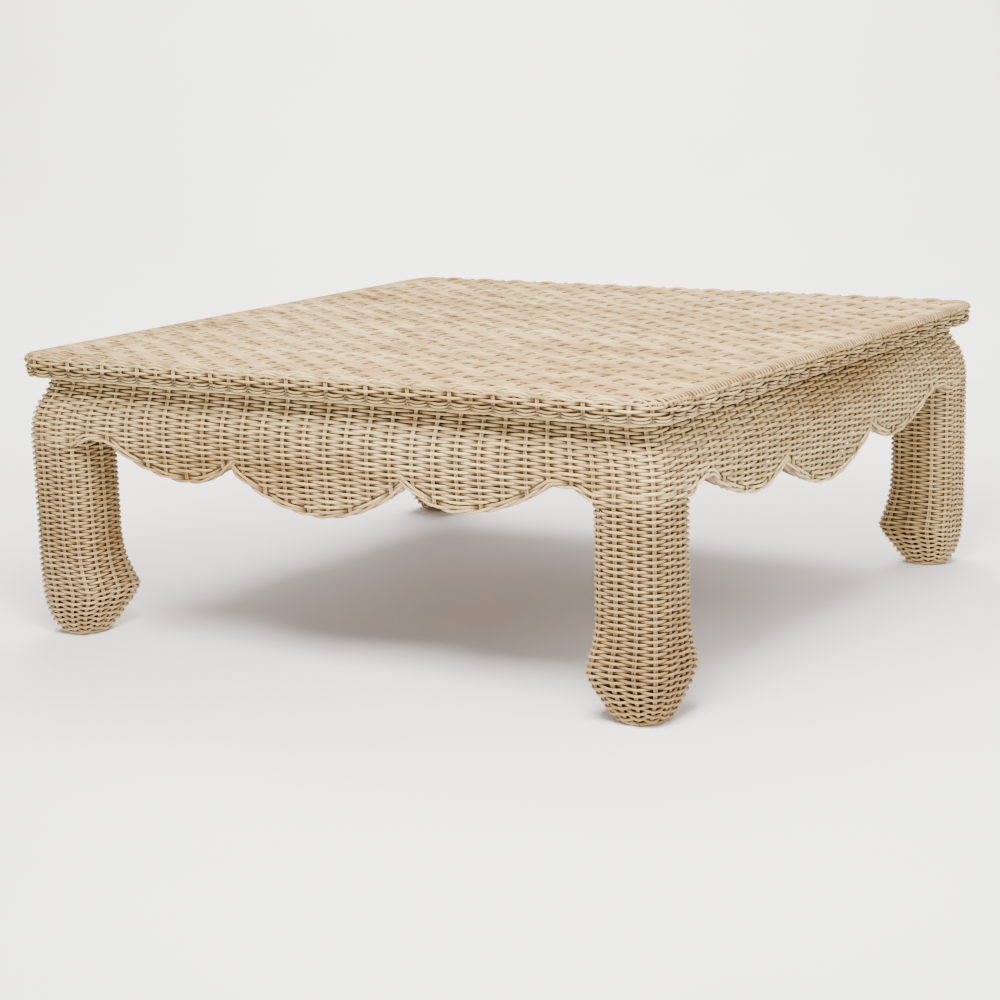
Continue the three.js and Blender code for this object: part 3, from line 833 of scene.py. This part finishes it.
# Painted shade of the top's weavers: at their dips, and on their flanks everywhere, beside another group
# and between the pairs of the turned-down ends.
TOP_SHADE = 0.66        # how dark a weaver is at its dips
FLANK_SHADE, ARCH_SHADE, PAIR_SHADE = 0.1, 0.55, 0.95   # everywhere, beside another group, between pairs
TOP_EDGE_ROWS = ((1.4, 0.88), (5.6, 1.72))      # place down the edge, and how far it arches over a stake
# The last value is painted shade on the two flanks of the edge's rows.
TOP_EDGE_REACH, TOP_EDGE_SWING, TOP_EDGE_PAINTED_FLANK_SHADE = 24.0, 2.9, (0.6, 0.2)
SIGN_POINTS, SIGN_BLEND = 700, 15       # for the smooth change from one group to the next
TOP_STAKE_INSET, TOP_STAKE = 5.0, 0.9 * STAKE
# Painted shade of the top's stakes, darker where they run deeper, under a group of weavers.
TOP_STAKE_SHADE, TOP_STAKE_SHADE_SWING = 0.25, 0.2


def row_groups(count):
    """Rows go over and under in groups of four to seven. Gives the group of each row."""
    groups = []
    while len(groups) < count:
        number = groups[-1] + 1 if groups else 0
        groups.extend([number] * int(rng.integers(SMALLEST_GROUP, LARGEST_GROUP + 1)))
    return np.array(groups[:count])


TOP_FLAT = HALF - EDGE_ROUND
TOP_ROWS = int(2 * TOP_FLAT / TOP_ROW)
TOP_Y = (np.arange(TOP_ROWS) - (TOP_ROWS - 1) / 2) * TOP_ROW
TOP_GROUPS = row_groups(TOP_ROWS)
TOP_SIGNS = TOP_GROUPS % 2
BRICK_TONES = rng.normal(0, BRICK_SPREAD, (TOP_GROUPS[-1] + 1, 2 * EDGE_STAKES))


def starts_group(index):
    """Whether a row lies next to a row of another group, on its nearer side."""
    return index in (0, TOP_ROWS) or TOP_GROUPS[index] != TOP_GROUPS[index - 1]


def plan_reach(y, inset):
    """How far along X the outline reaches at a given y, a given distance inside it."""
    into = np.maximum(np.abs(y) - EDGE_FLAT, 0)
    return EDGE_FLAT + np.sqrt(np.maximum((PLAN_RADIUS - inset) ** 2 - into ** 2, 0))


def top_row(index):
    """One cane across the top, turned down over the edge at both of its ends."""
    y = TOP_Y[index]
    flat = float(plan_reach(y, EDGE_ROUND))
    run = float(plan_reach(y, 0)) - flat
    x = spread(-flat, flat, EDGE_STEP / 6)
    turn = np.radians(OVER_ANGLES)
    end_x = flat + run * np.sin(turn)
    end_z = TOP - EDGE_ROUND + EDGE_ROUND * np.cos(turn)
    all_x = np.concatenate([-end_x[::-1], x, end_x])
    surface_z = np.concatenate([end_z[::-1], np.full_like(x, TOP), end_z])
    tilt = np.concatenate([-turn[::-1], 0 * x, turn])
    normals = np.stack([np.sin(tilt), 0 * tilt, np.cos(tilt)], -1)
    arc = all_x + np.sign(all_x) * np.maximum(0, EDGE_ROUND * np.abs(tilt) - run * np.abs(np.sin(tilt)))
    phase = arc / EDGE_STEP + TOP_SIGNS[index] + rng.normal(0, PHASE_SPREAD)
    turned_down = smooth_step((np.abs(all_x) - flat + COMB) / COMB)
    shift = turned_down * (COMB_SHIFT if index % 2 else -COMB_SHIFT)
    points = np.stack([all_x, y + (wander(all_x, TOP_WANDER, TOP_WAVE) + shift), surface_z], -1)
    item = woven(points, normals, phase, TOP_WEAVER, TOP_SWING * (1 - turned_down), TOP_DIP)
    # Painted shade on the flanks: under each arch beside another group, and between the pairs of the
    # turned-down ends.
    arch = ARCH_SHADE * np.maximum(swing_of(phase), 0) * (1 - turned_down)
    pair = PAIR_SHADE * turned_down
    item["painted_flank_shade"] = (FLANK_SHADE + arch * starts_group(index) + pair * (index % 2),
                      FLANK_SHADE + arch * starts_group(index + 1) + pair * (1 - index % 2))
    # Painted shade at the dips, none on the turned-down ends.
    item["painted_shade"] = TOP_SHADE * item["painted_shade"] * (1 - turned_down)
    item["radius"] = item["radius"] * (1 - COMB_SLIMMER * turned_down)
    brick = np.round(phase / 2).astype(int) + EDGE_STAKES
    item["tone"] = np.clip(item["tone"] + BRICK_TONES[TOP_GROUPS[index], brick], 0, 1)
    return item


def top_edge_rows(sign):
    """Rows on the rounded front or back edge, in step with the group of the top next to it."""
    strands = []
    reach = EDGE_FLAT + TOP_EDGE_REACH
    for w, arch in TOP_EDGE_ROWS:
        u = spread(-reach, reach, ROW_STEP)
        phase = (u + EDGE_END) / EDGE_STEP + sign
        points, normals = edge_with_normals(u, w + wander(u, EDGE_WANDER) - arch * np.cos(np.pi * phase))
        strands.append(woven(points, normals, phase, TOP_WEAVER, TOP_EDGE_SWING))
        strands[-1]["painted_flank_shade"] = TOP_EDGE_PAINTED_FLANK_SHADE
    return strands


def top_stake_canes():
    """Stake pairs under and over the groups of weavers, running from front to back."""
    strands = []
    places = np.linspace(TOP_Y[0], TOP_Y[-1], SIGN_POINTS)
    kernel = np.hanning(SIGN_BLEND)
    signs = np.convolve(np.interp(places, TOP_Y, 1 - 2 * TOP_SIGNS), kernel / kernel.sum(), "same")
    for index in range(1, EDGE_STAKES):
        x = EDGE_STEP * (index - EDGE_STAKES / 2)
        reach = float(plan_reach(x, TOP_STAKE_INSET))
        y = spread(-reach, reach, TOP_STAKE_STEP)
        over = np.interp(y, places, signs) * (-1 if (index - EDGE_STAKES // 2) % 2 else 1)
        z = TOP - TOP_STAKE_DEPTH - TOP_STAKE_SWING * over
        # Painted shade, darker where the stake lies deeper.
        painted_shade = TOP_STAKE_SHADE + TOP_STAKE_SHADE_SWING * over
        for hand in (-1, 1):
            points = np.stack([np.full_like(y, x + hand * PAIR), y, z], -1)
            up = np.broadcast_to([0.0, 0.0, 1.0], points.shape)
            strands.append(strand(points, up, TOP_STAKE, painted_shade))
    return strands


# ---------- the bent canes behind the scalloped edges ----------

LASH_TURN, LASH_RADIUS, LASH_GAP, LASH_POINTS = 17.0, 0.9, 0.8, 1300
# Painted shade of the rim cane and its lashing, which lie behind the scalloped edge.
RIM_SHADE, LASH_SHADE = 0.2, 0.35
RIM_MARGIN, LASH_MARGIN = 1.0, 2.0      # how far each stays inside the ends


def rim_canes():
    """A thick bent cane along the edge, and the thin cane that lashes it on."""
    low, high = box_mm("apron_rim_front")
    y = (low[1] + high[1]) / 2
    radius = (high[1] - low[1]) / 2
    u = spread(low[0] + RIM_MARGIN, high[0] - RIM_MARGIN, RIM_STEP)
    lift = low[2] - MIDDLE_LOBE_Z + radius
    path = np.stack([u, np.full_like(u, y), soft_scallop(u, RIM_BEND) + lift], -1)
    outward = np.broadcast_to([0.0, -1.0, 0.0], path.shape)
    thick = strand(path, outward, radius, RIM_SHADE)
    t = np.linspace(u[0] + LASH_MARGIN, u[-1] - LASH_MARGIN, LASH_POINTS)
    angle = 2 * np.pi * t / LASH_TURN
    reach = radius + LASH_GAP
    lash_z = soft_scallop(t, RIM_BEND) + lift + reach * np.sin(angle)
    lash = np.stack([t, y + reach * np.cos(angle), lash_z], -1)
    facing = np.stack([0 * t, np.cos(angle), np.sin(angle)], -1)
    return [thick, strand(lash, facing, LASH_RADIUS, LASH_SHADE)]


# ---------- materials ----------

def rgb(red, green, blue):
    """A colour given as on a screen, 0 to 255, in the linear values that nodes use."""
    def linear(value):
        v = value / 255
        return v / 12.92 if v <= 0.04045 else ((v + 0.055) / 1.055) ** 2.4
    return (linear(red), linear(green), linear(blue), 1.0)


WHITE = rgb(255, 255, 255)


class Finish:
    """A material in the making: its nodes, and the shader that they feed."""

    def __init__(self, name):
        self.material = bpy.data.materials.new(name)
        self.material.use_nodes = True
        self.tree = self.material.node_tree
        self.shader = self.tree.nodes["Principled BSDF"]
        self.place = self.node("TexCoord").outputs["Object"]

    def feed(self, socket, value):
        """Links a socket to another one, or sets it to a number or colour."""
        if isinstance(value, bpy.types.NodeSocket):
            self.tree.links.new(value, socket)
        else:
            socket.default_value = value

    def node(self, kind, **inputs):
        """A new node with its inputs fed. Their names have _ where the sockets' have spaces."""
        node = self.tree.nodes.new("ShaderNode" + kind)
        for name, value in inputs.items():
            self.feed(node.inputs[name.replace("_", " ")], value)
        return node

    def attribute(self, name, kind):
        node = self.node("Attribute")
        node.attribute_name = name
        return node.outputs[kind]

    def stretched(self, vector, scale):
        return self.node("Mapping", Vector=vector, Scale=scale).outputs["Vector"]

    def noise(self, vector, scale, detail=3.0, rough=0.55):
        node = self.node("TexNoise", Vector=vector, Scale=scale, Detail=detail, Roughness=rough)
        return node.outputs["Fac"]

    def ranged(self, value, low, high, to_low, to_high):
        ends = {"From_Min": low, "From_Max": high, "To_Min": to_low, "To_Max": to_high}
        return self.node("MapRange", Value=value, **ends).outputs["Result"]

    def ramp(self, value, *stops):
        """The colour for a value, between stops that each have a place and a colour."""
        node = self.node("ValToRGB", Fac=value)
        elements = node.color_ramp.elements
        while len(elements) < len(stops):
            elements.new(0.5)
        for element, (place, colour) in zip(elements, stops):
            element.position = place
            element.color = colour
        return node.outputs["Color"]

    def mix(self, kind, factor, first, second):
        node = self.node("Mix")
        node.data_type = "RGBA"
        node.blend_type = kind
        sockets = {socket.identifier: socket for socket in node.inputs}
        for name, value in (("Factor_Float", factor), ("A_Color", first), ("B_Color", second)):
            self.feed(sockets[name], value)
        return next(socket for socket in node.outputs if socket.type == "RGBA")

    def tinted(self, colour, strength, value, *stops):
        """A colour multiplied by that of a ramp."""
        return self.mix("MULTIPLY", strength, colour, self.ramp(value, *stops))

    def done(self, colour, rough, height, strength, distance):
        """Feeds the shader its colour, its roughness and a bump of the given height."""
        bump = self.node("Bump", Height=height, Strength=strength, Distance=distance).outputs["Normal"]
        for name, value in (("Base Color", colour), ("Roughness", rough), ("Normal", bump)):
            self.feed(self.shader.inputs[name], value)
        return self.material


def cane_material(name, pale, middle, dark, painted_shade_colour, painted_shade_start, bands, shine=0.36):
    """Round cane: a tone for each strand, streaks along it, and painted shade where it dives into the weave
    and on its flanks.
    """
    finish = Finish(name)
    parts = finish.node("SeparateColor", Color=finish.attribute("cane", "Color")).outputs
    grain = finish.attribute("grain", "Vector")
    streak = finish.noise(finish.stretched(grain, (0.02, 0.9, 0.9)), scale=1.6, detail=4)
    stretch = finish.noise(finish.stretched(grain, (0.012, 0.05, 0.05)), scale=1.0, detail=2)
    patch = finish.noise(finish.stretched(finish.place, bands), scale=2.4)
    tone = finish.node("Math")
    tone.operation = "ADD"
    finish.feed(tone.inputs[0], finish.ranged(parts["Red"], 0, 1, -0.4, 0.44))
    finish.feed(tone.inputs[1], finish.ranged(stretch, 0.3, 0.7, 0.2, 0.8))

    colour = finish.ramp(tone.outputs["Value"], (0.0, pale), (0.5, middle), (1.0, dark))
    colour = finish.tinted(colour, 0.55, parts["Green"],
                           (0.0, rgb(238, 240, 204)), (0.35, rgb(248, 242, 212)),
                           (0.75, rgb(250, 236, 206)), (1.0, rgb(236, 216, 182)))
    colour = finish.tinted(colour, 0.9, patch, (0.36, WHITE), (0.66, rgb(208, 194, 170)))
    colour = finish.tinted(colour, 0.5, streak, (0.3, rgb(210, 192, 166)), (0.55, WHITE))
    # Painted shade: past its start, the colour goes towards the crevices' shade colour.
    near_black = (0.05, 0.05, 0.05, 1)
    depth = finish.ramp(parts["Blue"], (0.0, rgb(0, 0, 0)), (painted_shade_start, near_black), (1.0, WHITE))
    colour = finish.mix("MIX", depth, colour, painted_shade_colour)
    finish.shader.inputs["Specular IOR Level"].default_value = shine
    return finish.done(colour, finish.ranged(streak, 0.3, 0.7, 0.66, 0.48), streak, 0.35, 0.0004)


# Each has three screen colours from pale to dark, the colour of its painted shade in the crevices, how deep
# in the weave that shade starts, how its broad bands of colour are stretched along X, Y and Z, and its
# shine.
TOP_CANE = cane_material("cane_of_the_top", rgb(238, 218, 172), rgb(206, 181, 134), rgb(154, 128, 90),
                         rgb(104, 84, 62), 0.42, (0.6, 3.4, 1), 0.1)
# The edge's cane is painted darker than the sides': painted shade that evens out the light its lip catches
# from above.
EDGE_CANE = cane_material("cane_of_the_edge", rgb(236, 218, 176), rgb(208, 185, 141), rgb(162, 136, 97),
                          rgb(74, 54, 36), 0.42, (1, 1, 3), 0.25)
SIDE_CANE = cane_material("cane_of_the_sides", rgb(246, 229, 189), rgb(221, 199, 155), rgb(176, 151, 111),
                          rgb(80, 58, 39), 0.46, (1, 1, 3))
LEG_CANE = cane_material("cane_of_the_legs", rgb(243, 226, 186), rgb(214, 191, 149), rgb(166, 140, 103),
                         rgb(54, 38, 25), 0.42, (1, 1, 2))
RIM_CANE = cane_material("cane_of_the_rims", rgb(222, 196, 154), rgb(204, 174, 130), rgb(176, 142, 100),
                         rgb(90, 62, 36), 0.4, (1, 1, 1))


def wood_material(name, pale, dark, stretch, rough):
    """Timber with long grain and fine pores, used on pieces that the frame already holds."""
    finish = Finish(name)
    rings = finish.noise(finish.stretched(finish.place, stretch), 14, 5, 0.6)
    pores = finish.noise(finish.stretched(finish.place, tuple(4 * s for s in stretch)), 60, 2)
    colour = finish.ramp(rings, (0.32, dark), (0.5, pale), (0.66, dark))
    colour = finish.tinted(colour, 0.6, pores, (0.35, rgb(196, 176, 150)), (0.5, WHITE))
    gloss = finish.ranged(pores, 0.3, 0.7, rough + 0.12, rough - 0.1)
    return finish.done(colour, gloss, rings, 0.25, 0.0006)


def moulded_material(name, pale, dark, rough, metal):
    """Nylon or plated steel: faint mottling, scuffs and a fine uneven surface."""
    finish = Finish(name)
    scuff = finish.noise(finish.stretched(finish.place, (1, 6, 1)), 320, 2)
    colour = finish.ramp(finish.noise(finish.place, 180, 4), (0.35, dark), (0.65, pale))
    finish.shader.inputs["Metallic"].default_value = metal
    gloss = finish.ranged(scuff, 0.3, 0.7, rough - 0.1, rough + 0.15)
    return finish.done(colour, gloss, scuff, 0.15, 0.0002)


def dress_frame():
    """Gives the CAD pieces that stay in view their finished materials."""
    stained = wood_material("stained_plywood", rgb(112, 84, 58), rgb(82, 59, 39), (1, 1, 9), 0.62)
    hardwood_x = wood_material("hardwood_along_x", rgb(150, 106, 66), rgb(112, 76, 46), (0.7, 7, 7), 0.55)
    hardwood_y = wood_material("hardwood_along_y", rgb(150, 106, 66), rgb(112, 76, 46), (7, 0.7, 7), 0.55)
    hardwood_z = wood_material("hardwood_upright", rgb(96, 64, 38), rgb(66, 42, 24), (7, 7, 0.7), 0.6)
    nylon = moulded_material("moulded_nylon", rgb(64, 52, 44), rgb(38, 30, 25), 0.5, 0.0)
    zinc = moulded_material("zinc_plate", rgb(206, 204, 196), rgb(150, 148, 142), 0.36, 0.9)
    finishes = {
        "top_board": stained, "apron_board": stained, "rail_front": hardwood_x, "rail_back": hardwood_x,
        "leg_core": hardwood_z, "foot_glide": nylon, "corner_bolt": zinc, "batten_screw": zinc,
    }
    for name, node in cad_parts.items():
        finish = next((finishes[kind] for kind in finishes if name.startswith(kind)), hardwood_y)
        node.data.materials.clear()
        node.data.materials.append(finish)


# ---------- the pieces ----------

def turned(strands, times):
    """Copies of strands turned about the table's axis, each with a colour of its own."""
    copies = []
    for item in strands:
        turned_lines = {key: quarter_turn(item[key], times) for key in ("points", "normals")}
        copies.append(item | turned_lines | drawn_colour())
    return copies


def build_sides():
    for times, side in enumerate(SIDES):
        cane_piece(f"apron_weavers_{side}", turned(side_rows(times), times), SIDE_CANE,
                   [f"apron_weave_{side}"])
        border = turned(border_canes(times), times)
        cane_piece(f"apron_border_{side}", border, SIDE_CANE, sides=8)
        stakes = turned(side_stake_canes(), times)
        cane_piece(f"apron_stakes_{side}", stakes, SIDE_CANE, sides=6)
        cane_piece(f"apron_rim_cane_{side}", turned(rim_canes(), times), RIM_CANE,
                   [f"apron_rim_{side}"], sides=8)


def build_legs():
    for times, corner in enumerate(CORNERS):
        weavers = [leg_weaver(times), foot_spiral()] + leg_inner_rows()
        cane_piece(f"leg_weavers_{corner}", turned(weavers, times), LEG_CANE,
                   [f"leg_weave_{corner}"])
        cane_piece(f"leg_stakes_{corner}", turned(leg_stake_canes(), times), LEG_CANE, sides=6)


def build_edge():
    for times, side in enumerate(SIDES):
        cane_piece(f"edge_weavers_{side}", turned(edge_canes(times), times), EDGE_CANE,
                   [f"edge_weave_{side}"])
        stakes = turned(edge_stake_canes(), times)
        cane_piece(f"edge_stakes_{side}", stakes, EDGE_CANE, sides=6)


def build_top():
    parts = 4
    for part in range(parts):
        rows = range(part * TOP_ROWS // parts, (part + 1) * TOP_ROWS // parts)
        strands = [top_row(index) for index in rows]
        if part == 0:
            strands += top_edge_rows(TOP_SIGNS[0])
        if part == parts - 1:
            strands += turned(top_edge_rows(TOP_SIGNS[-1]), 2)
        cane_piece(f"top_weavers_{part + 1}", strands, TOP_CANE, ["top_weave"], sides=6)
    cane_piece("top_stakes", top_stake_canes(), TOP_CANE, sides=6)


# ---------- floor, light and camera ----------

def build_floor():
    """Pale floor that curves up into a backdrop behind the table, as seen from the camera."""
    wide, near, far, bend, high = 9.0, -7.0, 3.2, 1.6, 5.0
    away = Vector((-math.sin(AZIMUTH), math.cos(AZIMUTH), 0))
    side = Vector((math.cos(AZIMUTH), math.sin(AZIMUTH), 0))
    turns = [math.radians(9 * step) for step in range(11)]
    profile = [(near, 0.0)] + [(far + bend * math.sin(t), bend * (1 - math.cos(t))) for t in turns]
    profile.append((far + bend, high))
    vertices = [away * y + side * x + Vector((0, 0, z)) for y, z in profile for x in (-wide, wide)]
    faces = [(2 * i, 2 * i + 1, 2 * i + 3, 2 * i + 2) for i in range(len(profile) - 1)]
    mesh = bpy.data.meshes.new("studio_floor")
    mesh.from_pydata(vertices, [], faces)
    mesh.polygons.foreach_set("use_smooth", np.ones(len(faces), bool))
    finish = Finish("pale_floor")
    cloud = finish.noise(finish.place, 2.0)
    colour = finish.ramp(cloud, (0.3, rgb(243, 242, 240)), (0.7, rgb(249, 248, 246)))
    finish.feed(finish.shader.inputs["Base Color"], colour)
    finish.shader.inputs["Roughness"].default_value = 0.8
    finish.shader.inputs["Specular IOR Level"].default_value = 0.1
    mesh.materials.append(finish.material)
    new_object("studio_floor", mesh)


WARM_WHITE, COOL_WHITE = (1.0, 0.985, 0.96), (1.0, 0.99, 0.97)
SKY = 0.47
# Name, place, the point that it faces, width, power in watts and colour
LIGHTS = (
    ("key", (0.68, -1.22, 1.7), (0.42, -0.42, 0.36), 0.8, 112, WARM_WHITE),
    ("back", (-1.0, 0.8, 2.4), (0, 0, 0.3), 1.6, 14, WARM_WHITE),
    ("side", (1.9, -0.7, 1.7), (0.5, -0.1, 0.4), 1.2, 30, WARM_WHITE),
    ("low", (0.5, -2.7, 0.7), (0.2, -0.5, 0.3), 1.2, 15, WARM_WHITE),
    ("backdrop", (-1.3, 2.2, 3.6), (-2.2, 3.5, 0.4), 3.0, 560, COOL_WHITE),
)


def area_light(name, place, aim, size, power, colour):
    data = bpy.data.lights.new(name, "AREA")
    data.shape = "SQUARE"
    data.size = size
    data.energy = power
    data.color = colour
    light = new_object(name, data)
    light.location = place
    light.rotation_euler = (Vector(aim) - Vector(place)).to_track_quat("-Z", "Y").to_euler()


def build_light():
    world = bpy.data.worlds.new("studio")
    world.use_nodes = True
    background = world.node_tree.nodes["Background"]
    background.inputs["Color"].default_value = (*WARM_WHITE, 1)
    background.inputs["Strength"].default_value = SKY
    bpy.context.scene.world = world
    for light in LIGHTS:
        area_light(*light)


# The camera's direction from the table, its tilt, how far off it is, and how far from the table's middle
# its aim lies, to the right and up, in metres
AZIMUTH = math.radians(32.8)
ELEVATION = math.radians(12.0)
ROLL = math.radians(-1.58)
DISTANCE = 3.4215
AIM_RIGHT, AIM_UP = -0.0333, -0.0591
LENS = 80.19


def build_camera():
    """The camera looks at a point near the middle of the table, from the near right corner's side."""
    back = Vector((math.sin(AZIMUTH) * math.cos(ELEVATION), -math.cos(AZIMUTH) * math.cos(ELEVATION),
                   math.sin(ELEVATION)))
    right = Vector((math.cos(AZIMUTH), math.sin(AZIMUTH), 0))
    up = back.cross(right)
    centre = Vector((0, 0, cad_box[1].z / 2)) + right * AIM_RIGHT + up * AIM_UP
    level_right = right * math.cos(ROLL) + up * math.sin(ROLL)
    level_up = up * math.cos(ROLL) - right * math.sin(ROLL)
    data = bpy.data.cameras.new("camera")
    data.lens = LENS
    data.sensor_width = 36.0
    data.clip_end = 100
    camera = new_object("camera", data)
    turn = Matrix((level_right, level_up, back)).transposed().to_4x4()
    camera.matrix_world = Matrix.Translation(centre + back * DISTANCE) @ turn
    bpy.context.scene.camera = camera


build_camera()
build_floor()
build_light()
dress_frame()
build_sides()
build_legs()
build_edge()
build_top()
